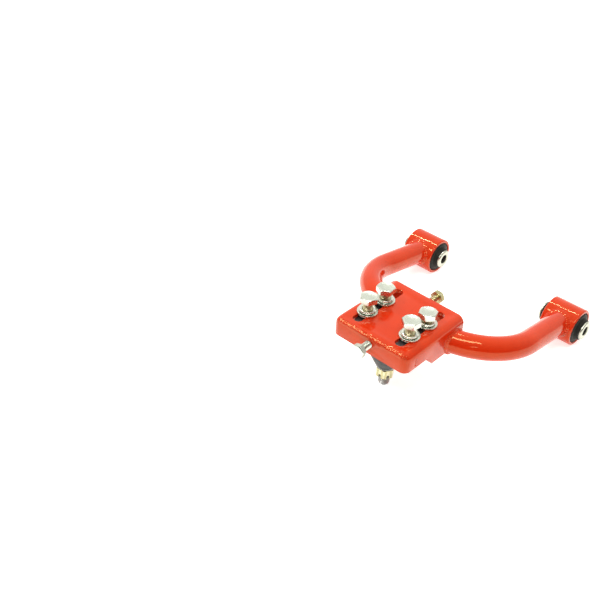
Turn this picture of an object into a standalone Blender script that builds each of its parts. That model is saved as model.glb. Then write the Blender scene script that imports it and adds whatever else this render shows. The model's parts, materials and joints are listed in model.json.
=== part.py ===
"""Adjustable-camber upper control arm: a welded arm whose ball joint slides in a slotted housing.

Everything is modelled in the arm's own frame: X along the bush axis, Y from the outboard face of the
housing towards the bushes, Z up from the top face of the housing. One empty then tilts the whole arm
so that it stands on its two bushing eyes and the end of the ball stud.
"""

import math

import bmesh
import bpy
import numpy as np
from mathutils import Matrix, Vector

# Clearances
GAP = 0.0003  # between pieces that touch or are welded
RUNNING = 0.0001  # between round pieces that turn or slide in each other

# Housing: a channel of bent plate, open below, with a strip wrapped round its outboard end
HOUSING_WIDTH = 0.092
HOUSING_DEPTH = 0.092
PLATE = 0.004
BEND_RADIUS = 0.008
WALL_HEIGHT = 0.0204
TAB_HEIGHT = 0.0312
TAB_START = 0.033
TAB_FULL = 0.044
CORNER_RADIUS = 0.0078
STRIP_RETURN = 0.016  # how far the front strip returns along each side
TOP_PLATE_FRONT = 0.0032  # the top plate stops short of the face to leave room for the weld
REAR_PLATE_HEIGHT = 0.024

SLOT_X = 0.0263
SLOT_WIDTH = 0.0106
SLOT_FRONT = 0.0146  # centre of the slot's outboard end
SLOT_REAR = 0.0768

# Bush eyes
EYE_X = 0.0923
EYE_Y = 0.2213
EYE_Z = -0.0469
EYE_RADIUS = 0.0206
EYE_BORE = 0.0173
EYE_LENGTH = 0.037
SHELL_THICKNESS = 0.0012
SHELL_LENGTH = 0.033
RUBBER_FLANGE_RADIUS = 0.0168
HUB_RADIUS = 0.0118
HUB_LENGTH = 0.0474
SLEEVE_RADIUS = 0.0103
SLEEVE_BORE = 0.0051
SLEEVE_LENGTH = 0.0514

# Legs: one bent tube from each side wall to its eye
TUBE_RADIUS = 0.0127
TUBE_WALL = 0.0025
TUBE_START = (0.0397, 0.0771, -0.0224)  # where the bend begins, inside the housing's wall
TUBE_KNEE = (0.0945, 0.0910, -0.0233)
TUBE_BEND_RADIUS = 0.068
TUBE_END_Z = -0.0445

# Ball joint and its carrier
BALL_Y = 0.0334
BALL_Z = -0.0200
BALL_RADIUS = 0.0105
BALL_TOP_Z = -0.0099  # a small flat on top of the ball
STUD_TIP_Z = -0.0778
STUD_RADIUS = 0.0059
STUD_CHAMFER = 0.001
NECK_RADIUS = 0.005
NECK_END_Z = -0.036
TAPER_Z = -0.046
TAPER_RADIUS = 0.0066
PIN_HOLE_RADIUS = 0.0015
PIN_HOLE_BELOW_NUT_SLOT = 0.0026
CARRIER_WIDTH = 0.072
CARRIER_FRONT = 0.0195
CARRIER_REAR = 0.0645
CARRIER_THICKNESS = 0.009
CUP_RADIUS = 0.015
CUP_NECK_RADIUS = 0.0137
CUP_BORE = 0.0125
CUP_BOTTOM_Z = -0.030
CUP_LIP = 0.0035
CUP_CHAMFER = 0.001
MOUTH_RADIUS = 0.0091
MOUTH_FLARE = 0.0021
CAP_THICKNESS = 0.0032
SEAT_TOP_Z = -0.0102  # where the ball's bearing begins
SEAT_STEPS = 14
BOOT_TOP_Z = -0.0235
BOOT_END_Z = -0.0552
BOOT_LIP = 0.0012  # rubber over the housing's rim
BOOT_BEAD = 0.0018  # raised bead above the upper clip's groove
BOOT_STUD_GRIP = 0.0069
CLIP_WIRE = 0.0006
UPPER_CLIP_Z = -0.0267
LOWER_CLIP_Z = -0.0537
LOWER_CLIP_RADIUS = 0.0104
NUT_TOP_Z = -0.0556
NUT_HEIGHT = 0.0115
NUT_SOLID_HEIGHT = 0.0067  # down to where its slots start
NUT_FLATS = 0.017
NUT_SLOT = 0.003
NUT_CHAMFER = 0.0011

# Fasteners
M10_RADIUS = 0.005
M10_FLATS = 0.017
M10_HEAD = 0.0064
CLAMP_BOLT_LENGTH = 0.030
CLAMP_Y = (0.0285, 0.0555)
# How far each bolt head stands above the top face, and how far the head is turned
CLAMP_BOLTS = {
    "clamp_bolt_front_left": (-SLOT_X, CLAMP_Y[0], 0.0138, 8),
    "clamp_bolt_rear_left": (-SLOT_X, CLAMP_Y[1], 0.0116, 35),
    "clamp_bolt_front_right": (SLOT_X, CLAMP_Y[0], 0.0140, 22),
    "clamp_bolt_rear_right": (SLOT_X, CLAMP_Y[1], 0.0096, 50),
}
WASHER_RADIUS = 0.0105
WASHER_THICKNESS = 0.002
SPRING_WASHER_RADIUS = 0.0088
SPRING_WASHER_THICKNESS = 0.0022
SPRING_WASHER_RISE = 0.0007
SPRING_WASHER_STEPS = 20
SPRING_WASHER_SPLIT = 8  # degrees
M8_RADIUS = 0.004
M8_FLATS = 0.013
M8_HEAD = 0.0053
ADJUSTER_Z = -0.0095
FRONT_HEAD_Y = -0.0164  # outer face of the front adjuster's head
REAR_HEAD_Y = 0.1138
SCREW_TIP_CHAMFER = 0.001
HEAD_CHAMFER = 0.07  # of a head's width across flats

# Weld beads
FILLET_LEG = 0.0026
EYE_FILLET_LEG = 0.0030
FILLET_BULGE = 0.62  # height of a fillet's crown, as a share of its leg

TUBE_SIDES = 20
BEND_STEPS = 12
WALL_CLEAR = 0.004  # the leg runs straight for this far beside the wall
ROUND = 30  # sides of the larger round pieces
SEAT_SIDES = 36
SMALL_ROUND = 24  # a multiple of six, so that hexagons keep their corners

COLOURS = {
    "powder_coat": ((0.80, 0.075, 0.025), 0.25, 0.0),
    "silver_zinc": ((0.62, 0.62, 0.60), 0.32, 1.0),
    "yellow_zinc": ((0.62, 0.55, 0.33), 0.35, 1.0),
    "bare_steel": ((0.50, 0.50, 0.50), 0.40, 1.0),
    "black_steel": ((0.04, 0.04, 0.045), 0.50, 0.6),
    "black_rubber": ((0.025, 0.027, 0.028), 0.60, 0.0),
    "bearing_plastic": ((0.80, 0.80, 0.76), 0.45, 0.0),
}

for old in list(bpy.data.objects):
    bpy.data.objects.remove(old, do_unlink=True)


# ---------------------------------------------------------------- helpers

def material(piece_name, colour_name):
    """A Principled material of its own for one piece."""
    colour, roughness, metallic = COLOURS[colour_name]
    made = bpy.data.materials.new(piece_name)
    made.use_nodes = True
    shader = made.node_tree.nodes["Principled BSDF"]
    shader.inputs["Base Color"].default_value = (*colour, 1.0)
    shader.inputs["Roughness"].default_value = roughness
    shader.inputs["Metallic"].default_value = metallic
    return made


def new_piece(name, bm, colour_name, smooth=True):
    """Turns a bmesh into a named object under the arm's empty."""
    bmesh.ops.remove_doubles(bm, verts=bm.verts, dist=1e-7)
    bmesh.ops.recalc_face_normals(bm, faces=bm.faces)
    if bm.calc_volume(signed=True) < 0:
        bmesh.ops.reverse_faces(bm, faces=bm.faces)
    mesh = bpy.data.meshes.new(name)
    bm.to_mesh(mesh)
    bm.free()
    if smooth:
        mesh.shade_smooth()
        mesh.set_sharp_from_angle(angle=math.radians(35))
    piece = bpy.data.objects.new(name, mesh)
    bpy.context.scene.collection.objects.link(piece)
    piece.data.materials.append(material(name, colour_name))
    piece.parent = arm_frame
    return piece


def skin(rings, closed):
    """A bmesh through rings of points: closed joins the last ring to the first, else both ends are capped."""
    bm = bmesh.new()
    loops = [[bm.verts.new(point) for point in ring] for ring in rings]
    pairs = list(zip(loops, loops[1:]))
    if closed:
        pairs.append((loops[-1], loops[0]))
    count = len(loops[0])
    for first, second in pairs:
        for i in range(count):
            j = (i + 1) % count
            bm.faces.new((first[i], first[j], second[j], second[i]))
    if not closed:
        bm.faces.new(loops[0])
        bm.faces.new(list(reversed(loops[-1])))
    return bm


def level_ring(level, sides):
    """One level of a turned piece: (z, radius), or (z, radius, flats) where a hexagon limits the radius."""
    z, radius = level[0], level[1]
    flats = level[2] if len(level) > 2 else None
    ring = []
    for i in range(sides):
        angle = 2 * math.pi * i / sides
        r = radius
        if flats:
            from_flat = (angle % (math.pi / 3)) - math.pi / 6
            r = min(radius, flats / 2 / math.cos(from_flat))
        ring.append(Vector((r * math.cos(angle), r * math.sin(angle), z)))
    return ring


def turned(name, levels, colour_name, sides=ROUND, bored=False):
    """A piece turned about Z: a solid with capped ends, or a bored one whose levels run out and back in."""
    rings = [level_ring(level, sides) for level in levels]
    return new_piece(name, skin(rings, closed=bored), colour_name)


def prism(name, outline, depth, colour_name, smooth=True):
    """An XY outline extruded along Z from depth[0] to depth[1]."""
    rings = [[Vector((x, y, z)) for x, y in outline] for z in depth]
    return new_piece(name, skin(rings, closed=False), colour_name, smooth)


def arc(centre, radius, start, end, steps):
    """Points of an arc in a plane, with its angles in degrees."""
    angles = np.radians(np.linspace(start, end, steps + 1))
    return [(centre[0] + radius * math.cos(a), centre[1] + radius * math.sin(a)) for a in angles]


def rectangle(x0, x1, y0, y1):
    return [(x0, y0), (x1, y0), (x1, y1), (x0, y1)]


def cut(target, cutter):
    """Subtracts a hidden cutter from a piece."""
    cutter.hide_render = True
    cutter.display_type = "WIRE"
    boolean = target.modifiers.new(cutter.name, "BOOLEAN")
    boolean.operation = "DIFFERENCE"
    boolean.solver = "EXACT"
    boolean.object = cutter


def along_x(piece):
    """Stands a piece turned about Z on its side, with its upper end towards +X."""
    piece.rotation_euler = (0, math.radians(90), 0)


def along_y(piece, turn=0.0, outward=-1):
    """Lays a piece turned about Z down, its upper end towards outward * Y, turned about its own axis."""
    lay = Matrix.Rotation(math.radians(-90 * outward), 3, "X")
    spin = Matrix.Rotation(math.radians(turn), 3, "Z")
    piece.rotation_euler = (lay @ spin).to_euler()


def side_name(side):
    return "right" if side > 0 else "left"


# ---------------------------------------------------------------- the arm's frame

def standing_tilt():
    """Angle that brings the undersides of the eyes and the rear edge of the stud's end to one level."""
    rise = EYE_Z - STUD_TIP_Z
    run = EYE_Y - (BALL_Y + STUD_RADIUS - STUD_CHAMFER)
    return math.acos(EYE_RADIUS / math.hypot(rise, run)) - math.atan2(run, rise)


arm_frame = bpy.data.objects.new("arm_frame", None)
bpy.context.scene.collection.objects.link(arm_frame)
arm_frame.rotation_euler = (-standing_tilt(), 0, 0)


def stand_on_floor():
    """Moves the frame so that the bottom centre of the whole arm's box is the origin."""
    bpy.context.view_layer.update()
    corners = []
    depsgraph = bpy.context.evaluated_depsgraph_get()
    for piece in bpy.context.scene.objects:
        if piece.type == "MESH" and not piece.hide_render:
            evaluated = piece.evaluated_get(depsgraph)
            corners += [piece.matrix_world @ vertex.co for vertex in evaluated.data.vertices]
    points = np.array(corners)
    low, high = points.min(axis=0), points.max(axis=0)
    arm_frame.location = (-(low[0] + high[0]) / 2, -(low[1] + high[1]) / 2, -low[2])


# ---------------------------------------------------------------- housing

def channel_section():
    """The channel's section across X: top plate, both bends and both side walls down to the tabs."""
    half = HOUSING_WIDTH / 2
    outer_centre = half - BEND_RADIUS
    inner_radius = BEND_RADIUS - PLATE
    right_out = arc((outer_centre, -BEND_RADIUS), BEND_RADIUS, 90, 0, 6)
    right_in = arc((outer_centre, -BEND_RADIUS), inner_radius, 0, 90, 6)
    right = right_out + [(half, -TAB_HEIGHT), (half - PLATE, -TAB_HEIGHT)] + right_in
    left = [(-x, z) for x, z in reversed(right)]
    return right + left


def housing_channel():
    rings = [[Vector((x, y, z)) for x, z in channel_section()] for y in (RUNNING, HOUSING_DEPTH)]
    channel = new_piece("housing_channel", skin(rings, closed=False), "powder_coat")
    half = HOUSING_WIDTH / 2
    reach = 0.02  # how far cutters run past what they cut

    for side in (-1, 1):
        ends = arc((side * SLOT_X, SLOT_FRONT), SLOT_WIDTH / 2, 180, 360, 10)
        ends += arc((side * SLOT_X, SLOT_REAR), SLOT_WIDTH / 2, 0, 180, 10)
        cut(channel, prism(f"slot_cutter_{side_name(side)}", ends, (-reach, reach), "powder_coat"))

        outside = [(half + reach, -reach), (half - CORNER_RADIUS, -reach)]
        outside += arc((half - CORNER_RADIUS, CORNER_RADIUS), CORNER_RADIUS, 270, 360, 8)
        outside += [(half + reach, CORNER_RADIUS)]
        outline = [(side * x, y) for x, y in outside]
        cut(channel, prism(f"corner_cutter_{side_name(side)}", outline, (-2 * reach, reach), "powder_coat"))

        wall = rectangle(side * (half - BEND_RADIUS + GAP), side * (half + reach), -reach, STRIP_RETURN + GAP)
        below = (-2 * reach, -BEND_RADIUS - GAP)
        cut(channel, prism(f"strip_cutter_{side_name(side)}", wall, below, "powder_coat"))

    flat = half - CORNER_RADIUS
    cut(channel, prism("front_cutter", rectangle(-flat, flat, -reach, TOP_PLATE_FRONT), (-reach, reach), "powder_coat"))

    # The walls are low at the front and step down a slope to the deeper tabs that carry the legs
    step = [(-reach, -WALL_HEIGHT), (TAB_START, -WALL_HEIGHT), (TAB_FULL, -TAB_HEIGHT), (TAB_FULL, -2 * reach),
            (-reach, -2 * reach)]
    rings = [[Vector((x, y, z)) for y, z in step] for x in (-half - reach, half + reach)]
    cut(channel, new_piece("wall_step_cutter", skin(rings, closed=False), "powder_coat"))
    return channel


def strip_outline(inset):
    """Plan of the front strip at a distance inside its outer face, from the left end to the right end."""
    half = HOUSING_WIDTH / 2
    radius = CORNER_RADIUS - inset
    left = (-half + CORNER_RADIUS, CORNER_RADIUS)
    right = (half - CORNER_RADIUS, CORNER_RADIUS)
    path = [(-half + inset, STRIP_RETURN)]
    path += arc(left, radius, 180, 270, 8)
    path += arc(right, radius, 270, 360, 8)
    return path + [(half - inset, STRIP_RETURN)]


def screw_hole_cutter(name, y0, y1):
    cutter = turned(name, [(y1 - y0, M8_RADIUS + RUNNING), (0, M8_RADIUS + RUNNING)], "powder_coat", SMALL_ROUND)
    along_y(cutter)
    cutter.location = (0, y1, ADJUSTER_Z)
    return cutter


def front_plate():
    outline = strip_outline(0) + list(reversed(strip_outline(PLATE)))
    top = -PLATE - GAP
    plate = prism("front_plate", outline, (-WALL_HEIGHT, top), "powder_coat")
    half = HOUSING_WIDTH / 2

    # At each corner the strip fills the inside of the top plate's bend, and its return stops below the bend
    inside = half - BEND_RADIUS
    below = -BEND_RADIUS - GAP
    section = arc((inside, -BEND_RADIUS), BEND_RADIUS - PLATE - GAP, 90, 0, 6)
    section += [(section[-1][0], below), (HOUSING_WIDTH, below), (HOUSING_WIDTH, PLATE), (inside, PLATE)]
    for side in (-1, 1):
        rings = [[Vector((side * x, y, z)) for x, z in section] for y in (-PLATE, 2 * STRIP_RETURN)]
        cut(plate, new_piece(f"shoulder_cutter_{side_name(side)}", skin(rings, closed=False), "powder_coat"))
    cut(plate, screw_hole_cutter("front_hole_cutter", -PLATE, 2 * PLATE))
    return plate


def rear_plate():
    half = HOUSING_WIDTH / 2 - PLATE - GAP
    back = HOUSING_DEPTH - GAP
    front = back - PLATE
    # The upper corners are cut off, to clear the inside of the channel's bends
    upper = half - BEND_RADIUS + PLATE
    section = [(-half, -REAR_PLATE_HEIGHT), (half, -REAR_PLATE_HEIGHT), (half, -BEND_RADIUS)]
    section += [(upper, -PLATE - GAP), (-upper, -PLATE - GAP), (-half, -BEND_RADIUS)]
    rings = [[Vector((x, y, z)) for x, z in section] for y in (front, back)]
    plate = new_piece("rear_plate", skin(rings, closed=False), "powder_coat", smooth=False)
    cut(plate, screw_hole_cutter("rear_hole_cutter", front - PLATE, back + PLATE))


def front_edge_weld():
    """The bead that fills the corner between the top plate's edge and the top of the front plate."""
    back = TOP_PLATE_FRONT - GAP
    bottom = -PLATE
    section = [(back, bottom), (GAP, bottom), (0.0001, -0.0026), (0.0006, -0.0010), (0.0016, 0.0000),
               (back, 0.0003)]
    end = HOUSING_WIDTH / 2 - CORNER_RADIUS - GAP
    rings = [[Vector((x, y, z)) for y, z in section] for x in (-end, end)]
    new_piece("front_edge_weld", skin(rings, closed=False), "powder_coat")


# ---------------------------------------------------------------- legs and their welds

def leg_path():
    """Centreline of the right-hand leg from just outside the wall: one bend, then straight to the eye."""
    start = Vector(TUBE_START)
    knee = Vector(TUBE_KNEE)
    end = Vector((EYE_X, EYE_Y, TUBE_END_Z))
    to_start = (start - knee).normalized()
    to_end = (end - knee).normalized()
    half_angle = to_start.angle(to_end) / 2
    reach = TUBE_BEND_RADIUS / math.tan(half_angle)
    middle = (to_start + to_end).normalized()
    centre = knee + middle * (TUBE_BEND_RADIUS / math.sin(half_angle))
    first = (knee + to_start * reach - centre).normalized()
    last = (knee + to_end * reach - centre).normalized()
    spokes = [first.slerp(last, i / BEND_STEPS) for i in range(BEND_STEPS + 1)]
    bend = [centre + spoke * TUBE_BEND_RADIUS for spoke in spokes]
    outside = HOUSING_WIDTH / 2 + WALL_CLEAR
    return [point for point in bend if point.x > outside] + [end]


def leg_directions(path):
    """Direction of the centreline at each point of a path."""
    steps = [(b - a).normalized() for a, b in zip(path, path[1:])]
    return [steps[0]] + [(a + b).normalized() for a, b in zip(steps, steps[1:])] + [steps[-1]]


def tube_rings(radius, path, directions):
    """Rings round the leg, the first laid on the side wall's plane and the last coped to the eye."""
    spoke = directions[0].cross(Vector((0, 0, 1))).normalized()
    rings = []
    for i, (point, direction) in enumerate(zip(path, directions)):
        if i:
            spoke = directions[i - 1].rotation_difference(direction) @ spoke
        ring = []
        for k in range(TUBE_SIDES):
            turn = Matrix.Rotation(2 * math.pi * k / TUBE_SIDES, 3, direction)
            ring.append(point + turn @ spoke * radius)
        rings.append(ring)
    wall = HOUSING_WIDTH / 2 + GAP
    rings.insert(0, [p + directions[0] * ((wall - p.x) / directions[0].x) for p in rings[0]])
    rings[-1] = [slide_to_eye(p, directions[-1]) for p in rings[-1]]
    return rings


def slide_to_eye(point, direction):
    """Moves a point along a direction to just off the eye's outer surface."""
    y, z = point.y - EYE_Y, point.z - EYE_Z
    a = direction.y ** 2 + direction.z ** 2
    b = y * direction.y + z * direction.z
    c = y ** 2 + z ** 2 - (EYE_RADIUS + GAP) ** 2
    return point + direction * ((-b - math.sqrt(b * b - a * c)) / a)


def mirrored(rings, side):
    return [[Vector((side * p.x, p.y, p.z)) for p in ring] for ring in rings]


def leg_tube(side):
    path = leg_path()
    directions = leg_directions(path)
    outer = tube_rings(TUBE_RADIUS, path, directions)
    inner = tube_rings(TUBE_RADIUS - TUBE_WALL, path, directions)
    rings = mirrored(outer + list(reversed(inner)), side)
    new_piece(f"leg_tube_{side_name(side)}", skin(rings, closed=True), "powder_coat")


def fillet_section(foot, along, out, from_tube, from_wall, leg):
    """Five points of a weld fillet: its root, its toe on each surface and the bulge between them."""
    bulge = FILLET_BULGE * leg
    clear = 1.5 * GAP
    return [foot + from_tube * clear + from_wall * clear,
            foot + from_wall * clear + out * leg,
            foot + along * bulge * 0.55 + out * bulge * 1.2,
            foot + along * bulge * 1.2 + out * bulge * 0.55 + from_tube * clear,
            foot + from_tube * clear + along * leg]


def wall_weld(side):
    """The fillet round a leg's foot on the side wall."""
    path = leg_path()
    directions = leg_directions(path)
    feet = tube_rings(TUBE_RADIUS, path, directions)[0]
    middle = feet[0].lerp(feet[TUBE_SIDES // 2], 0.5)
    sections = []
    for foot in feet:
        spoke = foot - middle
        out = Vector((0, spoke.y, spoke.z)).normalized()
        sections.append(fillet_section(foot, directions[0], out, out, Vector((1, 0, 0)), FILLET_LEG))
    new_piece(f"wall_weld_{side_name(side)}", skin(mirrored(sections, side), closed=True), "powder_coat")


def eye_weld(side):
    """The fillet between a leg's coped end and its eye."""
    path = leg_path()
    directions = leg_directions(path)
    along = -directions[-1]
    sections = []
    for foot in tube_rings(TUBE_RADIUS, path, directions)[-1]:
        normal = Vector((0, foot.y - EYE_Y, foot.z - EYE_Z)).normalized()
        spoke = foot - path[-1]
        spoke = (spoke - along * spoke.dot(along)).normalized()
        out = (spoke - normal * spoke.dot(normal)).normalized()
        sections.append(fillet_section(foot, along, out, spoke, normal, EYE_FILLET_LEG))
    new_piece(f"eye_weld_{side_name(side)}", skin(mirrored(sections, side), closed=True), "powder_coat")


# ---------------------------------------------------------------- bushes

def mirrored_levels(half):
    """Levels of a piece symmetrical about z = 0, from those above it, top first."""
    return half + [(-z, r) for z, r in reversed(half)]


def bush_piece(name, side, half, bore, colour_name, sides=ROUND):
    """A bored piece on an eye's axis, from the levels of its outer side's upper half and its bore."""
    outer = mirrored_levels(half)
    inner = [(z, bore) for z, r in (outer[-1], outer[0])]
    piece = turned(f"{name}_{side_name(side)}", outer + inner, colour_name, sides, bored=True)
    along_x(piece)
    piece.location = (side * EYE_X, EYE_Y, EYE_Z)


def bushes(side):
    rim = 0.0008  # chamfer of the eye's rims and the sleeve's ends
    half = EYE_LENGTH / 2
    bush_piece("bushing_eye", side, [(half, EYE_RADIUS - rim), (half - rim, EYE_RADIUS)], EYE_BORE, "powder_coat")

    shell = EYE_BORE - GAP
    shell_bore = shell - SHELL_THICKNESS
    shell_half = SHELL_LENGTH / 2
    bush_piece("bushing_shell", side, [(shell_half, shell)], shell_bore, "bare_steel", SMALL_ROUND)

    flange = shell_half + GAP
    face = half + 0.0006
    rubber = [(HUB_LENGTH / 2, HUB_RADIUS - rim), (HUB_LENGTH / 2 - rim, HUB_RADIUS), (face + 0.0016, HUB_RADIUS),
              (face, RUBBER_FLANGE_RADIUS - 2 * rim), (face - rim, RUBBER_FLANGE_RADIUS),
              (flange, RUBBER_FLANGE_RADIUS), (flange, shell_bore - GAP)]
    bush_piece("bushing_rubber", side, rubber, SLEEVE_RADIUS + RUNNING, "black_rubber")

    end = SLEEVE_LENGTH / 2
    sleeve = [(end, SLEEVE_RADIUS - rim), (end - rim, SLEEVE_RADIUS)]
    bush_piece("bushing_sleeve", side, sleeve, SLEEVE_BORE, "silver_zinc")


# ---------------------------------------------------------------- carrier and ball joint

def carrier_plate():
    half = CARRIER_WIDTH / 2
    corner = 0.004
    outline = []
    right, left = half - corner, corner - half
    rear, front = CARRIER_REAR - corner, CARRIER_FRONT + corner
    for x, y, start in ((right, rear, 0), (left, rear, 90), (left, front, 180), (right, front, 270)):
        outline += arc((x, y), corner, start, start + 90, 3)
    top = -PLATE - GAP
    depth = (top - CARRIER_THICKNESS, top)
    plate = prism("carrier_plate", outline, depth, "black_steel")
    reach = 2 * CARRIER_THICKNESS

    def drill(name, x, y, radius, sides):
        cutter = turned(name, [(top + reach, radius), (top - reach, radius)], "black_steel", sides)
        cutter.location = (x, y, 0)
        cut(plate, cutter)

    for name, (x, y, *_) in CLAMP_BOLTS.items():
        drill(f"{name}_hole_cutter", x, y, M10_RADIUS + RUNNING, SMALL_ROUND)
    drill("cup_hole_cutter", 0, BALL_Y, CUP_NECK_RADIUS + GAP, ROUND)


def on_ball_axis(piece):
    """Puts a piece turned about Z, with its levels in the arm's own heights, on the ball joint's centre."""
    for vertex in piece.data.vertices:
        vertex.co.z -= BALL_Z
    piece.location = (0, BALL_Y, BALL_Z)
    return piece


def ball_radius_at(z, radius):
    return math.sqrt(max(radius ** 2 - (z - BALL_Z) ** 2, 0))


def ball_levels(radius, top, bottom, steps):
    """Levels of a sphere round the ball's centre between two heights."""
    start = math.acos((top - BALL_Z) / radius)
    end = math.acos((bottom - BALL_Z) / radius)
    heights = [BALL_Z + radius * math.cos(a) for a in np.linspace(start, end, steps + 1)]
    return [(z, ball_radius_at(z, radius)) for z in heights]


def ball_joint():
    neck_top = -PLATE - 2 * GAP
    neck_bottom = -PLATE - CARRIER_THICKNESS - 2 * GAP
    lip_top = CUP_BOTTOM_Z + CUP_LIP
    cup = [(neck_top, CUP_NECK_RADIUS), (neck_bottom, CUP_NECK_RADIUS), (neck_bottom, CUP_RADIUS),
           (CUP_BOTTOM_Z + CUP_CHAMFER, CUP_RADIUS), (CUP_BOTTOM_Z, CUP_RADIUS - CUP_CHAMFER),
           (CUP_BOTTOM_Z, MOUTH_RADIUS + MOUTH_FLARE), (lip_top, MOUTH_RADIUS), (lip_top, CUP_BORE),
           (neck_top, CUP_BORE)]
    on_ball_axis(turned("ball_joint_housing", cup, "black_steel", bored=True))

    cap_top = neck_top - GAP
    cap_bottom = cap_top - CAP_THICKNESS
    cap_radius = CUP_BORE - GAP
    on_ball_axis(turned("ball_joint_cap", [(cap_top, cap_radius), (cap_bottom, cap_radius)], "black_steel"))

    liner_top = cap_bottom - GAP
    liner_bottom = lip_top + GAP
    seat = ball_levels(BALL_RADIUS + RUNNING, SEAT_TOP_Z, liner_bottom, SEAT_STEPS)
    liner = [(liner_top, seat[0][1]), (liner_top, cap_radius), (liner_bottom, cap_radius)]
    liner += list(reversed(seat))
    on_ball_axis(turned("bearing_liner", liner, "bearing_plastic", SEAT_SIDES, bored=True))

    nut_face = NUT_TOP_Z + GAP
    ball_end = BALL_Z - math.sqrt(BALL_RADIUS ** 2 - NECK_RADIUS ** 2)
    stud = ball_levels(BALL_RADIUS, BALL_TOP_Z, ball_end, 9)
    stud += [(NECK_END_Z, NECK_RADIUS), (TAPER_Z, TAPER_RADIUS), (nut_face, TAPER_RADIUS), (nut_face, STUD_RADIUS)]
    stud += [(STUD_TIP_Z + STUD_CHAMFER, STUD_RADIUS), (STUD_TIP_Z, STUD_RADIUS - STUD_CHAMFER)]
    piece = on_ball_axis(turned("ball_stud", stud, "silver_zinc", SMALL_ROUND))
    pin_hole = [(NUT_FLATS, PIN_HOLE_RADIUS), (-NUT_FLATS, PIN_HOLE_RADIUS)]
    cutter = turned("pin_hole_cutter", pin_hole, "silver_zinc", SMALL_ROUND // 2)
    along_y(cutter)
    cutter.location = (0, BALL_Y, NUT_TOP_Z - NUT_SOLID_HEIGHT - PIN_HOLE_BELOW_NUT_SLOT)
    cut(piece, cutter)


def dust_boot():
    """A hollow rubber cone, held round the housing and round the stud."""
    grip = CUP_RADIUS + GAP
    lip = grip + BOOT_LIP
    bead = grip + BOOT_BEAD
    outer = [(BOOT_TOP_Z, lip), (-0.0241, bead), (-0.0255, bead), (-0.0258, lip), (-0.0276, lip),
             (-0.0280, bead), (-0.0320, 0.0184), (-0.0380, 0.0180), (-0.0416, 0.0164), (-0.0470, 0.0137),
             (-0.0524, 0.0107), (-0.0530, 0.0095), (-0.0543, 0.0095), (BOOT_END_Z, 0.0098)]
    inner = [(BOOT_END_Z, BOOT_STUD_GRIP), (-0.0515, BOOT_STUD_GRIP), (-0.0495, 0.0101), (-0.0416, 0.0147),
             (-0.0370, 0.0166), (-0.0320, 0.0169), (CUP_BOTTOM_Z - GAP, grip), (BOOT_TOP_Z, grip)]
    on_ball_axis(turned("dust_boot", outer + inner, "black_rubber", bored=True))


def clip_ring(name, z, radius):
    """A round-wire ring in one of the boot's grooves."""
    turns = np.linspace(0, -2 * math.pi, 7)[:-1]
    section = [(z + CLIP_WIRE * math.sin(a), radius + CLIP_WIRE * math.cos(a)) for a in turns]
    on_ball_axis(turned(name, section, "bare_steel", SMALL_ROUND, bored=True))


def castle_nut():
    hex_radius = NUT_FLATS / math.sqrt(3)
    end = NUT_TOP_Z - NUT_HEIGHT
    bore = STUD_RADIUS + RUNNING
    face = (NUT_FLATS - NUT_CHAMFER) / 2
    levels = [(NUT_TOP_Z, bore), (NUT_TOP_Z, face), (NUT_TOP_Z - NUT_CHAMFER, hex_radius, NUT_FLATS),
              (end + NUT_CHAMFER, hex_radius, NUT_FLATS), (end, face), (end, bore)]
    nut = on_ball_axis(turned("castle_nut", levels, "yellow_zinc", SMALL_ROUND, bored=True))
    slot_depth = NUT_HEIGHT - NUT_SOLID_HEIGHT
    bar = rectangle(-NUT_FLATS, NUT_FLATS, -NUT_SLOT / 2, NUT_SLOT / 2)
    for i in range(3):
        cutter = prism(f"nut_slot_cutter_{i + 1}", bar, (-2 * slot_depth, slot_depth), "yellow_zinc")
        cutter.location = (0, BALL_Y, end)
        cutter.rotation_euler.z = math.radians(60 * i + 30)
        cut(nut, cutter)


# ---------------------------------------------------------------- fasteners

def hex_screw_levels(flats, head, radius, length):
    """A hexagon-headed screw with the underside of its head at z = 0."""
    corner = flats / math.sqrt(3)
    rim = HEAD_CHAMFER * flats
    return [(head, flats / 2 - rim), (head - rim / 3, flats / 2 - rim / 6), (head - rim, corner, flats),
            (0, corner, flats), (0, radius), (SCREW_TIP_CHAMFER - length, radius),
            (-length, radius - SCREW_TIP_CHAMFER)]


def clamp_bolts():
    for name, (x, y, stand, turn) in CLAMP_BOLTS.items():
        levels = hex_screw_levels(M10_FLATS, M10_HEAD, M10_RADIUS, CLAMP_BOLT_LENGTH)
        bolt = turned(name, levels, "silver_zinc", SMALL_ROUND)
        bolt.location = (x, y, stand)
        bolt.rotation_euler.z = math.radians(turn)


def flat_washer(place, x, y):
    bore = M10_RADIUS + GAP
    levels = [(WASHER_THICKNESS, bore), (WASHER_THICKNESS, WASHER_RADIUS), (0, WASHER_RADIUS), (0, bore)]
    washer = turned(f"flat_washer_{place}", levels, "silver_zinc", SMALL_ROUND, bored=True)
    washer.location = (x, y, GAP)


def spring_washer(place, x, y):
    """A split ring whose ends stand a little apart in height."""
    bore = M10_RADIUS + GAP
    sections = []
    for i in range(SPRING_WASHER_STEPS + 1):
        share = i / SPRING_WASHER_STEPS
        angle = math.radians(SPRING_WASHER_SPLIT / 2 + (360 - SPRING_WASHER_SPLIT) * share)
        base = SPRING_WASHER_RISE * share
        top = base + SPRING_WASHER_THICKNESS
        corners = [(bore, base), (SPRING_WASHER_RADIUS, base), (SPRING_WASHER_RADIUS, top), (bore, top)]
        sections.append([Vector((r * math.cos(angle), r * math.sin(angle), z)) for r, z in corners])
    washer = new_piece(f"spring_washer_{place}", skin(sections, closed=False), "silver_zinc")
    washer.location = (x, y, WASHER_THICKNESS + 2 * GAP)


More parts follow.
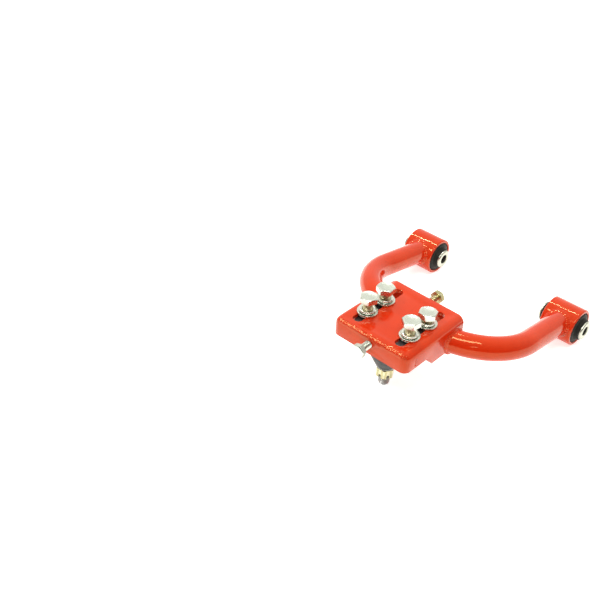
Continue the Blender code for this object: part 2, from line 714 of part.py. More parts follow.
def washers():
    for name, (x, y, *_) in CLAMP_BOLTS.items():
        place = name.replace("clamp_bolt_", "")
        flat_washer(place, x, y)
        spring_washer(place, x, y)


def adjuster(name, head_face, tip_y, turn, colour_name):
    """A screw through one of the end plates, whose tip bears on the carrier."""
    outward = 1 if head_face > tip_y else -1
    underside = head_face - outward * M8_HEAD
    length = abs(tip_y - underside)
    levels = hex_screw_levels(M8_FLATS, M8_HEAD, M8_RADIUS, length)
    screw = turned(name, levels, colour_name, SMALL_ROUND)
    along_y(screw, turn, outward)
    screw.location = (0, underside, ADJUSTER_Z)


housing_channel()
front_plate()
rear_plate()
front_edge_weld()
for arm_side in (-1, 1):
    leg_tube(arm_side)
    wall_weld(arm_side)
    eye_weld(arm_side)
    bushes(arm_side)
carrier_plate()
ball_joint()
dust_boot()
clip_ring("boot_clip_upper", UPPER_CLIP_Z, CUP_RADIUS + BOOT_LIP + CLIP_WIRE + 2 * GAP)
clip_ring("boot_clip_lower", LOWER_CLIP_Z, LOWER_CLIP_RADIUS)
castle_nut()
clamp_bolts()
washers()
adjuster("adjuster_screw_front", FRONT_HEAD_Y, CARRIER_FRONT - GAP, 15, "silver_zinc")
adjuster("adjuster_screw_rear", REAR_HEAD_Y, CARRIER_REAR + GAP, 5, "yellow_zinc")
stand_on_floor()
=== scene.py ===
"""Looks for the adjustable-camber control arm: fine surfaces, finishes, floor, light and camera.

Every piece is modelled in the arm's own frame, in metres: X along the bush axis, Y from the outboard
face of the housing towards the bushes, Z up from the housing's top face. ARM places that frame in the row.
"""
import json
import math

import bmesh
import bpy
import numpy as np
from mathutils import Matrix, Vector, noise


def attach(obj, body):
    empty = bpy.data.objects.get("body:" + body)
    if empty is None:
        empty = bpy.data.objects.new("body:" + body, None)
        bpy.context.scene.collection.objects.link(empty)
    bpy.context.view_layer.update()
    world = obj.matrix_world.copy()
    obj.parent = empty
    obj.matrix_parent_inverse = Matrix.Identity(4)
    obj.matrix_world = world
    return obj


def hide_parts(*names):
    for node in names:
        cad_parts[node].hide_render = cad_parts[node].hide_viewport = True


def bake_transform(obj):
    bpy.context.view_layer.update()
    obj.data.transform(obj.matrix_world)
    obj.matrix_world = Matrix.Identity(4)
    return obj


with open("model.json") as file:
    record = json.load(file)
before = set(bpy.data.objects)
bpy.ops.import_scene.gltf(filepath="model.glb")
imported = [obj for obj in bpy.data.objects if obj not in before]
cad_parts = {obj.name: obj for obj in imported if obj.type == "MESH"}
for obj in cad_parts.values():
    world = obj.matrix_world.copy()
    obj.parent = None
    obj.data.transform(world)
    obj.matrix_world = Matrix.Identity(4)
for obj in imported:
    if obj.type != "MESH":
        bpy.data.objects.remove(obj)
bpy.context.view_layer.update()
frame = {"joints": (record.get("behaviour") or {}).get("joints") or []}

# ---------------------------------------------------------------- the arm's dimensions

GAP = 0.0003
RUNNING = 0.0001
SKIN = 0.0001  # keeps a cut or a foot just clear of the face beside it
WIDTH = 0.092
DEPTH = 0.092
PLATE = 0.004
BEND = 0.008
WALL = 0.0204
TAB = 0.0312
TAB_START = 0.033
TAB_FULL = 0.044
CORNER = 0.0078
STRIP_RETURN = 0.016
PLATE_FRONT = 0.0032
REAR_PLATE = 0.024
SLOT_X = 0.0263
SLOT_RADIUS = 0.0053
SLOT_ENDS = (0.0146, 0.0768)
EYE = Vector((0.0923, 0.2213, -0.0469))
EYE_RADIUS = 0.0206
EYE_BORE = 0.0173
EYE_HALF = 0.0185
SHELL_HALF = 0.0165
SHELL_BORE = 0.0158
HUB_RADIUS = 0.0118
HUB_HALF = 0.0237
FLANGE_RADIUS = 0.0168
SLEEVE_RADIUS = 0.0103
SLEEVE_BORE = 0.0051
SLEEVE_HALF = 0.0257
TUBE_RADIUS = 0.0127
TUBE_START = Vector((0.0397, 0.0771, -0.0224))
TUBE_KNEE = Vector((0.0945, 0.0910, -0.0233))
TUBE_BEND = 0.068
TUBE_END_Z = -0.0445
BALL = Vector((0, 0.0334, -0.0200))
BALL_RADIUS = 0.0105
BALL_TOP = -0.0099
CARRIER = (0.072, 0.0195, 0.0645, 0.009)  # width, front, rear, thickness
CUP_RADIUS = 0.015
CUP_NECK = 0.0137
CUP_BORE = 0.0125
CUP_MOUTH = 0.0091
CUP_LIP = 0.0035
CUP_BOTTOM = -0.030
CAP_RADIUS = 0.0122
CAP_THICKNESS = 0.0032
SEAT_TOP = -0.0102
BOOT_TOP = -0.0235
BOOT_SPLIT = -0.0416
BOOT_END = -0.0552
CLIPS = {  # height, radius and body of each of the boot's clips
    "upper": (-0.0267, 0.0172, "carrier"),
    "lower": (-0.0537, 0.0101, "boot_end"),
}
NUT_TOP = -0.0556
NUT_HEIGHT = 0.0115
NUT_SOLID = 0.0067
NUT_FLATS = 0.017
NUT_CHAMFER = 0.0011
NUT_SLOT_HALF = 0.0015
STUD_TIP = -0.0778
STUD_RADIUS = 0.0059
STUD_PITCH = 0.00125
NECK_RADIUS = 0.005
NECK_END = -0.036
TAPER_END = -0.046
TAPER_RADIUS = 0.0066
PIN_RADIUS = 0.0015
PIN_BELOW_SLOT = 0.0026
BOLTS = {
    "front_left": (-SLOT_X, 0.0285, 0.0138, 8),
    "rear_left": (-SLOT_X, 0.0555, 0.0116, 35),
    "front_right": (SLOT_X, 0.0285, 0.0140, 22),
    "rear_right": (SLOT_X, 0.0555, 0.0096, 50),
}
M10 = {"flats": 0.017, "head": 0.0064, "radius": 0.005, "pitch": 0.0015}
M8 = {"flats": 0.013, "head": 0.0053, "radius": 0.004, "pitch": 0.00125}
BOLT_LENGTH = 0.030
WASHER_THICK = 0.002
WASHER_RADIUS = 0.0105
SPRING_RADIUS = 0.0088
SPRING_THICK = 0.0022
SPRING_RISE = 0.0007  # between its two ends
ADJUSTER_Z = -0.0095
FRONT_HEAD_Y = -0.0164
REAR_HEAD_Y = 0.1138

joints = {joint["name"]: joint for joint in frame["joints"]}
axis_y = Vector(joints["carrier_slide"]["axis"])
axis_z = Vector(joints["bolt_front_left_screw_in"]["axis"])
turn = Matrix((axis_y.cross(axis_z), axis_y, axis_z)).transposed()
ARM = Matrix.Translation(Vector(joints["ball_joint_swing"]["pos_m"]) - turn @ BALL) @ turn.to_4x4()


# ---------------------------------------------------------------- finishes

def node(tree, kind, inputs=None, **settings):
    made = tree.nodes.new(kind)
    for key, value in settings.items():
        setattr(made, key, value)
    for key, value in (inputs or {}).items():
        made.inputs[key].default_value = value
    return made


def spotted(tree, where, scale, detail=4.0, stretch=None):
    """A noise over the surface, with its scale in cells per metre."""
    if stretch:
        squeezed = node(tree, "ShaderNodeMapping", {"Scale": stretch})
        tree.links.new(where, squeezed.inputs["Vector"])
        where = squeezed.outputs["Vector"]
    cloud = node(tree, "ShaderNodeTexNoise", {"Scale": scale, "Detail": detail})
    tree.links.new(where, cloud.inputs["Vector"])
    return cloud.outputs["Fac"]


def ranged(tree, value, low, high, new_low, new_high):
    limits = {"From Min": low, "From Max": high, "To Min": new_low, "To Max": new_high}
    spread = node(tree, "ShaderNodeMapRange", limits)
    tree.links.new(value, spread.inputs["Value"])
    return spread.outputs["Result"]


def mixed(tree, share, first, second):
    """A colour between two, each either a socket or a plain colour."""
    mix = node(tree, "ShaderNodeMix", data_type="RGBA")
    tree.links.new(share, mix.inputs["Factor"])
    for socket, colour in ((mix.inputs[6], first), (mix.inputs[7], second)):
        if isinstance(colour, tuple):
            socket.default_value = (*colour, 1)
        else:
            tree.links.new(colour, socket)
    return mix.outputs[2]


def bumped(tree, height, depth, strength=1.0, below=None):
    bump = node(tree, "ShaderNodeBump", {"Distance": depth, "Strength": strength})
    tree.links.new(height, bump.inputs["Height"])
    if below:
        tree.links.new(below, bump.inputs["Normal"])
    return bump.outputs["Normal"]


def finish(name, colours, rough, metallic=0.0, grain=(900, 0.00003), waves=(140, 0.00005),
           edge=None, patch=45, stretch=None, soil=None, tint=None):
    """A finish whose colour, roughness and relief all vary over the surface.

    colours are the two that the surface drifts between; rough is its range of roughness; grain and waves
    are (cells per metre, depth) of the fine and broad relief; patch is the drift's cells per metre; stretch
    draws the fine relief out; edge is (colour, corner sharpness, share) worn onto corners; soil is (colour,
    threshold, share) left in patches; tint colours the reflection."""
    made = bpy.data.materials.new(name)
    made.use_nodes = True
    tree = made.node_tree
    shader = tree.nodes["Principled BSDF"]
    where = node(tree, "ShaderNodeTexCoord").outputs["Object"]
    drift = ranged(tree, spotted(tree, where, patch, 5.0), 0.35, 0.65, 0.0, 1.0)
    colour = mixed(tree, drift, *colours)
    if soil:
        stain = ranged(tree, spotted(tree, where, patch * 4.3, 6.0), soil[1], soil[1] + 0.16, 0.0, soil[2])
        colour = mixed(tree, stain, colour, soil[0])
    if edge:
        corner = node(tree, "ShaderNodeNewGeometry").outputs["Pointiness"]
        worn = ranged(tree, corner, edge[1], edge[1] + 0.05, 0.0, edge[2])
        colour = mixed(tree, worn, colour, edge[0])
    tree.links.new(colour, shader.inputs["Base Color"])
    fine = spotted(tree, where, grain[0], 3.0, stretch)
    gloss = ranged(tree, spotted(tree, where, patch * 3.1, 6.0, stretch), 0.3, 0.7, *rough)
    tree.links.new(gloss, shader.inputs["Roughness"])
    broad = bumped(tree, spotted(tree, where, waves[0], 2.0), waves[1])
    relief = bumped(tree, fine, grain[1], 1.0, broad)
    tree.links.new(relief, shader.inputs["Normal"])
    shader.inputs["Metallic"].default_value = metallic
    if tint:
        shader.inputs["Specular Tint"].default_value = (*tint, 1)
    shader.inputs["IOR"].default_value = 1.5
    return made


POWDER = finish("powder_coat", ((0.57, 0.028, 0.005), (0.53, 0.022, 0.004)), (0.05, 0.10),
                tint=(1.0, 0.88, 0.42), grain=(1500, 0.000003), waves=(200, 0.000012),
                edge=((0.62, 0.09, 0.04), 0.56, 0.4), soil=((0.38, 0.013, 0.004), 0.60, 0.35))
ZINC = finish("silver_zinc", ((0.66, 0.70, 0.62), (0.58, 0.62, 0.55)), (0.22, 0.32), metallic=1.0,
              grain=(1800, 0.000001), waves=(240, 0.000004), edge=((0.86, 0.87, 0.80), 0.53, 0.5), patch=90,
              soil=((0.55, 0.55, 0.44), 0.62, 0.3))
SLEEVE_ZINC = finish("sleeve_zinc", ((0.56, 0.57, 0.48), (0.48, 0.49, 0.41)), (0.28, 0.42), metallic=1.0,
                     grain=(1800, 0.000003), waves=(320, 0.000008), patch=110,
                     edge=((0.86, 0.86, 0.78), 0.54, 0.5), soil=((0.36, 0.35, 0.26), 0.60, 0.4))
YELLOW_ZINC = finish("yellow_zinc", ((0.56, 0.53, 0.28), (0.44, 0.42, 0.24)), (0.22, 0.36), metallic=1.0,
                     grain=(1800, 0.000002), waves=(240, 0.000006), patch=120,
                     edge=((0.84, 0.82, 0.58), 0.53, 0.6), soil=((0.38, 0.37, 0.18), 0.58, 0.5))
STEEL = finish("bare_steel", ((0.55, 0.55, 0.54), (0.44, 0.44, 0.43)), (0.28, 0.45), metallic=1.0,
               grain=(3000, 0.00001), waves=(600, 0.00001), patch=160, stretch=(0.1, 1.0, 1.0),
               soil=((0.30, 0.27, 0.22), 0.60, 0.5))
THREAD = finish("oiled_thread", ((0.66, 0.60, 0.38), (0.52, 0.47, 0.30)), (0.25, 0.42), metallic=1.0,
                grain=(2600, 0.00001), waves=(700, 0.00002), patch=300,
                soil=((0.26, 0.22, 0.12), 0.55, 0.6))
# Near-black finish for the inside of the sleeve's bore: painted shade that stands for the dark hole, darker
# than the sleeve's own zinc.
PAINTED_SHADE_BORE = finish("sleeve_bore", ((0.10, 0.10, 0.08), (0.06, 0.06, 0.05)), (0.45, 0.60), metallic=0.8,
              grain=(1800, 0.000005), waves=(320, 0.00001), patch=150, soil=((0.14, 0.12, 0.09), 0.60, 0.4))
BLACK_STEEL = finish("black_steel", ((0.030, 0.030, 0.033), (0.050, 0.048, 0.046)), (0.35, 0.55),
                     metallic=0.5, grain=(1800, 0.00003), waves=(300, 0.00003), patch=90,
                     edge=((0.16, 0.15, 0.14), 0.55, 0.5), soil=((0.085, 0.070, 0.055), 0.60, 0.5))
RUBBER = finish("bush_rubber", ((0.010, 0.010, 0.009), (0.017, 0.017, 0.015)), (0.50, 0.68),
                grain=(1400, 0.00003), waves=(250, 0.00003), patch=110, edge=((0.05, 0.05, 0.045), 0.56, 0.4),
                soil=((0.040, 0.040, 0.034), 0.62, 0.4), tint=(0.35, 0.36, 0.30))
BOOT_RUBBER = finish("boot_rubber", ((0.030, 0.034, 0.036), (0.045, 0.050, 0.050)), (0.34, 0.50),
                     grain=(1200, 0.00003), waves=(220, 0.00003), patch=90,
                     soil=((0.07, 0.078, 0.068), 0.60, 0.45), tint=(0.5, 0.56, 0.5))
ACETAL = finish("bearing_plastic", ((0.78, 0.78, 0.73), (0.70, 0.70, 0.65)), (0.35, 0.5), patch=80)


# ---------------------------------------------------------------- shapes

LOOK = "_look"  # ends the name of each piece that is shown


def own(made):
    """The CAD node that a piece is named after."""
    return [made.name.removesuffix(LOOK)]


def from_rows(rows, closed=False, round_about=True):
    """A bmesh through rows of points. closed joins the last row to the first, else both ends are capped."""
    bm = bmesh.new()
    loops = [[bm.verts.new(point) for point in row] for row in rows]
    pairs = list(zip(loops, loops[1:]))
    if closed:
        pairs.append((loops[-1], loops[0]))
    count = len(loops[0])
    for first, second in pairs:
        for i in range(count if round_about else count - 1):
            j = (i + 1) % count
            bm.faces.new((first[i], first[j], second[j], second[i]))
    if not closed and round_about:
        bm.faces.new(loops[0])
        bm.faces.new(list(reversed(loops[-1])))
    bmesh.ops.remove_doubles(bm, verts=bm.verts, dist=1e-7)
    bmesh.ops.recalc_face_normals(bm, faces=bm.faces)
    if bm.calc_volume(signed=True) < 0:
        bmesh.ops.reverse_faces(bm, faces=bm.faces)
    return bm


def loose(name, bm, place=None):
    """An object in the arm's frame that isn't a piece yet."""
    if place:
        bm.transform(place)
    mesh = bpy.data.meshes.new(name)
    bm.to_mesh(mesh)
    bm.free()
    made = bpy.data.objects.new(name + LOOK, mesh)
    bpy.context.scene.collection.objects.link(made)
    return made


def carved(target, cutters):
    """Cuts the cutters out of target, and removes them."""
    for cutter in cutters:
        boolean = target.modifiers.new(cutter.name, "BOOLEAN")
        boolean.operation = "DIFFERENCE"
        boolean.solver = "EXACT"
        boolean.object = cutter
    settle(target)
    for cutter in cutters:
        bpy.data.objects.remove(cutter, do_unlink=True)
    return target


def settle(target):
    """Turns an object's modifiers into its mesh."""
    bpy.context.view_layer.update()
    evaluated = target.evaluated_get(bpy.context.evaluated_depsgraph_get())
    done = bpy.data.meshes.new_from_object(evaluated)
    target.modifiers.clear()
    target.data = done
    return target


def eased(target, width, segments=3, angle=38):
    """Rounds an object's sharp edges."""
    bevel = target.modifiers.new("eased", "BEVEL")
    bevel.width = width
    bevel.segments = segments
    bevel.limit_method = "ANGLE"
    bevel.angle_limit = math.radians(angle)
    bevel.miter_outer = "MITER_ARC"
    return settle(target)


def piece(made, finish_used, body, nodes, sharp=40):
    """Makes an object in the arm's frame a finished piece on its body."""
    made.data.transform(ARM)
    made.data.materials.clear()
    made.data.materials.append(finish_used)
    made.data.shade_smooth()
    made.data.set_sharp_from_angle(angle=math.radians(sharp))
    if body:
        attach(made, body)
    if nodes:
        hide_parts(*nodes)
    return made


def softened(profile, radius, closed, steps=3):
    """A profile with its corners rounded."""
    count = len(profile)
    points = [Vector(p) for p in profile]
    out = []
    for i, point in enumerate(points):
        if not closed and i in (0, count - 1):
            out.append(tuple(point))
            continue
        before, after = points[i - 1] - point, points[(i + 1) % count] - point
        if before.length < 1e-7 or after.length < 1e-7 or before.angle(after) > math.radians(165):
            out.append(tuple(point))
            continue
        reach = min(radius, before.length * 0.45, after.length * 0.45)
        first, last = point + before.normalized() * reach, point + after.normalized() * reach
        for k in range(steps + 1):
            t = k / steps
            out.append(tuple(first.lerp(point, t).lerp(point.lerp(last, t), t)))
    return out


def ring(z, radius, sides, flats=None):
    row = []
    for i in range(sides):
        angle = 2 * math.pi * i / sides
        r = radius
        if flats:
            r = min(radius, flats / 2 / math.cos(angle % (math.pi / 3) - math.pi / 6))
        row.append(Vector((r * math.cos(angle), r * math.sin(angle), z)))
    return row


def turned(name, profile, bored, place=None, sides=72, ease=0.0003):
    """A piece turned about Z from (z, radius) points."""
    soft = softened(profile, ease, bored)
    return loose(name, from_rows([ring(z, r, sides) for z, r in soft], closed=bored), place)


def prism(name, outline, depth, axes="xyz", place=None):
    """An outline in two of the arm's axes, run along the third."""
    order = [axes.index(letter) for letter in "xyz"]
    rows = [[Vector([(u, v, w)[k] for k in order]) for u, v in outline] for w in depth]
    return loose(name, from_rows(rows), place)


def arc(centre, radius, start, end, steps):
    angles = np.radians(np.linspace(start, end, steps + 1))
    return [(centre[0] + radius * math.cos(a), centre[1] + radius * math.sin(a)) for a in angles]


def rectangle(x0, x1, y0, y1):
    return [(x0, y0), (x1, y0), (x1, y1), (x0, y1)]


def lying(side, at):
    """Places what was turned about Z along the bush axis."""
    return Matrix.Translation(at) @ Matrix.Rotation(math.radians(90) * side, 4, "Y")


def along_y(at, outward, turned_by):
    lay = Matrix.Rotation(math.radians(-90 * outward), 4, "X")
    return Matrix.Translation(at) @ lay @ Matrix.Rotation(math.radians(turned_by), 4, "Z")


def on_ball(z=0.0):
    return Matrix.Translation((BALL.x, BALL.y, z))


# ---------------------------------------------------------------- housing

def housing_channel():
    half = WIDTH / 2
    centre = half - BEND
    right = arc((centre, -BEND), BEND, 90, 0, 14) + [(half, -TAB), (half - PLATE, -TAB)]
    right += arc((centre, -BEND), BEND - PLATE, 0, 90, 10)
    outline = right + [(-x, z) for x, z in reversed(right)]
    channel = prism("housing_channel", outline, (RUNNING, DEPTH), "xzy")
    reach = 0.02
    flat = half - CORNER
    cutters = [prism("front_cutter", rectangle(-flat, flat, -reach, PLATE_FRONT), (-reach, reach))]
    for side in (-1, 1):
        ends = arc((side * SLOT_X, SLOT_ENDS[0]), SLOT_RADIUS, 180, 360, 24)
        ends += arc((side * SLOT_X, SLOT_ENDS[1]), SLOT_RADIUS, 0, 180, 24)
        cutters.append(prism("slot_cutter", ends, (-reach, reach)))
        outside = rectangle(side * (half - BEND), side * (half + reach), -reach, CORNER)
        cutters.append(prism("corner_cutter", outside, (-2 * reach, reach)))
        wall = rectangle(side * (half - BEND + GAP), side * (half + reach), -reach, STRIP_RETURN + SKIN)
        cutters.append(prism("strip_cutter", wall, (-2 * reach, -BEND - SKIN)))
    step = [(-reach, -WALL), (TAB_START, -WALL), (TAB_FULL, -TAB), (TAB_FULL, -2 * reach),
            (-reach, -2 * reach)]
    cutters.append(prism("step_cutter", step, (-half - reach, half + reach), "yzx"))
    carved(channel, cutters)
    eased(channel, 0.0010)
    return piece(channel, POWDER, "arm", ["housing_channel"])


def housing_corner(side):
    """The rounded front corner, where the top plate's bend runs out into the strip."""
    middle = WIDTH / 2 - BEND
    foot = -BEND - 0.0006
    steps = 25
    rows = []
    for theta in np.linspace(-math.pi / 2, 0, steps):
        fullness = 2 - 1.6 * math.sin(theta) ** 3
        row = []
        for u in np.sin(np.linspace(0, math.pi / 2, steps)):
            fall = 1 - max(0.0, 1 - u ** fullness) ** (1 / fullness)
            x = side * (middle + BEND * u * math.cos(theta))
            row.append(Vector((x, CORNER * (1 + u * math.sin(theta)), -BEND * fall)))
        row.append(Vector((row[-1].x, row[-1].y, foot)))
        row.append(Vector((side * middle, CORNER, foot)))
        rows.append(row)
    made = loose("housing_corner_" + word(side), from_rows(rows))
    return piece(made, POWDER, "arm", [])


def strip_outline(inset):
    half = WIDTH / 2
    radius = CORNER - inset
    path = [(-half + inset, STRIP_RETURN)] + arc((-half + CORNER, CORNER), radius, 180, 270, 16)
    return path + arc((half - CORNER, CORNER), radius, 270, 360, 16) + [(half - inset, STRIP_RETURN)]


def adjuster_cutter(y0, y1):
    """Cuts the hole that an adjuster screw passes through."""
    rows = [ring(z, M8["radius"] + GAP, 48) for z in (y1 - y0, 0)]
    return loose("hole_cutter", from_rows(rows), along_y((0, y0, ADJUSTER_Z), 1, 0))


def front_plate():
    outline = strip_outline(0) + list(reversed(strip_outline(PLATE)))
    plate = prism("front_plate", outline, (-WALL, -PLATE - SKIN))
    inside = WIDTH / 2 - BEND
    below = -BEND - SKIN
    section = arc((inside, -BEND), BEND - PLATE - SKIN, 90, 0, 12)
    section += [(section[-1][0], below), (WIDTH, below), (WIDTH, PLATE), (inside, PLATE)]
    cutters = []
    for side in (-1, 1):
        outline = [(side * x, z) for x, z in section]
        cutters.append(prism("shoulder_cutter", outline, (-PLATE, 2 * STRIP_RETURN), "xzy"))
    cutters.append(adjuster_cutter(-PLATE, 2 * PLATE))
    carved(plate, cutters)
    eased(plate, 0.0006)
    return piece(plate, POWDER, "arm", ["front_plate"])


def rear_plate():
    half = WIDTH / 2 - PLATE - GAP
    upper = half - BEND + PLATE
    top = -PLATE - GAP
    section = [(-half, -REAR_PLATE), (half, -REAR_PLATE), (half, -BEND), (upper, top), (-upper, top),
               (-half, -BEND)]
    back = DEPTH - GAP
    plate = prism("rear_plate", section, (back - PLATE, back), "xzy")
    carved(plate, [adjuster_cutter(back - 2 * PLATE, back + PLATE)])
    eased(plate, 0.0006)
    return piece(plate, POWDER, "arm", ["rear_plate"])


def ripple(run, pitch):
    """Height of a weld's ripples along its run: overlapping scales, each rounded ahead and steep behind."""
    share = (run / pitch) % 1.0
    return min(1.0, share * 6) * (1 - 0.85 * share ** 1.6)


def uneven(point, scale, seed):
    return noise.noise(Vector(point) * scale + Vector((seed, 2.3 * seed, 0.7)))


def bead(name, line, seed, pitch=0.0027):
    """A weld bead laid along a line of (point, up, across, half width, height)."""
    rows = []
    run = 0.0
    last = line[0][0]
    count = len(line)
    for i, (at, up, across, width, height) in enumerate(line):
        run += (at - last).length
        last = at
        taper = min(1.0, 0.25 + min(i, count - 1 - i) / 6)
        wobble = uneven(at, 260, seed)
        wide = width * (0.92 + 0.30 * wobble) * taper
        shift = across * width * 0.25 * uneven(at, 160, seed + 9)
        row = []
        for a in np.linspace(0, math.pi, 13):
            scale = ripple(run + pitch * (0.5 * wobble - 0.45 * math.cos(a) ** 2), pitch)
            high = height * (0.35 + 0.65 * scale) * taper
            row.append(at + shift + across * wide * math.cos(a) + up * high * math.sin(a) ** 0.7)
        row.append(at + shift - across * wide * 0.5 - up * 0.0008)
        row.append(at + shift + across * wide * 0.5 - up * 0.0008)
        rows.append(row)
    return loose(name, from_rows(rows))


def front_weld():
    """The bead along the housing's front edge, with the root that fills the corner below it."""
    end = WIDTH / 2 - CORNER
    up = Vector((0, -0.62, 0.78))
    across = Vector((0, 0.78, 0.62))
    line = []
    for x in np.linspace(-end - 0.0005, end, 560):
        line.append((Vector((x, 0.0016, -0.0013)), up, across, 0.0023, 0.0011))
    for angle in np.radians(np.linspace(-90, -40, 90)[1:]):
        out = Vector((math.cos(angle), math.sin(angle), 0))
        down = 0.0013 + 0.0020 * (1 + math.sin(angle)) ** 0.8
        at = Vector((end, CORNER, -down)) + out * (CORNER - 0.0016)
        tipped = out * 0.62 + Vector((0, 0, 0.78))
        line.append((at, tipped, Vector((0, 0, 0.62)) - out * 0.78, 0.0021, 0.0011))
    top = bead("front_edge_weld", line, 3.0)
    foot, proud = -PLATE - 0.001, -0.00003
    section = [(0.0029, foot), (proud, foot), (proud, -0.0033), (0.0006, -0.0020), (0.0016, -0.0010),
               (0.0032, -0.0003)]
    root = prism("front_weld_root", section, (-end - 0.0002, end + 0.0002), "yzx")
    piece(root, POWDER, "arm", [])
    return piece(top, POWDER, "arm", ["front_edge_weld"], sharp=70)


def seam_weld(side):
    """The bead down the seam where the strip's return meets the side wall."""
    half = WIDTH / 2
    line = []
    for z in np.linspace(-0.0082, -0.0196, 70):
        at = Vector((side * (half - 0.0002), STRIP_RETURN + SKIN, z))
        line.append((at, Vector((side, 0, 0)), Vector((0, 1, 0)), 0.0014, 0.0007))
    made = bead("seam_weld_" + word(side), line, 11.0 + side)
    return piece(made, POWDER, "arm", [], sharp=70)


def word(side):
    return "right" if side > 0 else "left"


# ---------------------------------------------------------------- legs

def leg_line():
    """Centreline of the right-hand leg, with its direction at each point."""
    end = Vector((EYE.x, EYE.y, TUBE_END_Z))
    to_start = (TUBE_START - TUBE_KNEE).normalized()
    to_end = (end - TUBE_KNEE).normalized()
    half_angle = to_start.angle(to_end) / 2
    reach = TUBE_BEND / math.tan(half_angle)
    centre = TUBE_KNEE + (to_start + to_end).normalized() * (TUBE_BEND / math.sin(half_angle))
    first = (TUBE_KNEE + to_start * reach - centre).normalized()
    last = (TUBE_KNEE + to_end * reach - centre).normalized()
    steps = 48
    bend = [centre + first.slerp(last, i / steps) * TUBE_BEND for i in range(steps + 1)]
    bend = [point for point in bend if point.x > WIDTH / 2 + 0.004]
    start = bend[-1]
    straight = [start.lerp(end, i / 16) for i in range(1, 17)]
    path = bend + straight
    moves = [(b - a).normalized() for a, b in zip(path, path[1:])]
    ways = [moves[0]] + [(a + b).normalized() for a, b in zip(moves, moves[1:])] + [moves[-1]]
    return path, ways


def leg_rows(radius, sides):
    path, ways = leg_line()
    spoke = ways[0].cross(Vector((0, 0, 1))).normalized()
    rows = []
    for i, (point, way) in enumerate(zip(path, ways)):
        if i:
            spoke = ways[i - 1].rotation_difference(way) @ spoke
        turns = (Matrix.Rotation(2 * math.pi * k / sides, 3, way) for k in range(sides))
        rows.append([point + spin @ spoke * radius for spin in turns])
    wall = WIDTH / 2 + SKIN
    rows.insert(0, [p + ways[0] * ((wall - p.x) / ways[0].x) for p in rows[0]])
    rows[-1] = [to_eye(p, ways[-1]) for p in rows[-1]]
    return rows, path, ways


def to_eye(point, way):
    y, z = point.y - EYE.y, point.z - EYE.z
    a = way.y ** 2 + way.z ** 2
    b = y * way.y + z * way.z
    c = y ** 2 + z ** 2 - (EYE_RADIUS + SKIN) ** 2
    return point + way * ((-b - math.sqrt(b * b - a * c)) / a)


def sided(points, side):
    return [[Vector((side * p.x, p.y, p.z)) for p in row] for row in points]


def leg_tube(side):
    rows = leg_rows(TUBE_RADIUS, 64)[0]
    made = loose("leg_tube_" + word(side), from_rows(sided(rows, side)))
    return piece(made, POWDER, "arm", own(made))


def fillet(name, feet, side, leg, seed, nodes):
    """A rippled weld round a leg's end.

    feet are (foot, along the tube, out along the plate, tube's normal)."""
    sections = []
    run = 0.0
    last = feet[0][0]
    total = sum((b[0] - a[0]).length for a, b in zip(feet, feet[1:] + feet[:1]))
    pitch = total / round(total / 0.0023)
    for foot, along, out, normal in feet:
        run += (foot - last).length
        last = foot
        scale = ripple(run, pitch)
        wobble = uneven(foot, 260, seed)
        size = leg * (0.88 + 0.12 * scale + 0.16 * wobble)
        crown = 0.54 + 0.10 * scale
        row = [foot - along * 0.0006 - normal * 0.001]
        for k in range(9):
            t = k / 8
            point = (out * (1 - t) + along * t) * size
            bulge = math.sin(math.pi * t) ** 0.7 * (crown - 0.5) * size * 1.3
            sunk = (normal if t > 0.5 else along) * 0.0002
            row.append(foot + point + (out + along).normalized() * bulge - sunk)
        sections.append(row)
    made = loose(name, from_rows(sided(sections, side), closed=True))
    return piece(made, POWDER, "arm", nodes, sharp=70)


def wall_weld(side):
    sides = 220
    rows, _, ways = leg_rows(TUBE_RADIUS, sides)
    middle = rows[0][0].lerp(rows[0][sides // 2], 0.5)
    feet = []
    for foot in rows[0]:
        out = Vector((0, foot.y - middle.y, foot.z - middle.z)).normalized()
        feet.append((foot, ways[0], out, out))
    name = "wall_weld_" + word(side)
    return fillet(name, feet, side, 0.0021, 21.0 + side, [name])


def eye_weld(side):
    rows, path, ways = leg_rows(TUBE_RADIUS, 240)
    along = -ways[-1]
    feet = []
    for foot in rows[-1]:
        normal = Vector((0, foot.y - EYE.y, foot.z - EYE.z)).normalized()
        spoke = foot - path[-1]
        spoke = (spoke - along * spoke.dot(along)).normalized()
        out = (spoke - normal * spoke.dot(normal)).normalized()
        feet.append((foot, along, out, spoke))
    name = "eye_weld_" + word(side)
    return fillet(name, feet, side, 0.0030, 31.0 + side, [name])


# ---------------------------------------------------------------- bushes

def mirrored(half):
    return half + [(-z, r) for z, r in reversed(half)]


def bush(name, side, profile, body, finish_used, ease=0.0003):
    at = Vector((side * EYE.x, EYE.y, EYE.z))
    made = turned(f"{name}_{word(side)}", profile, True, lying(1, at), 96, ease)
    return piece(made, finish_used, body, own(made))


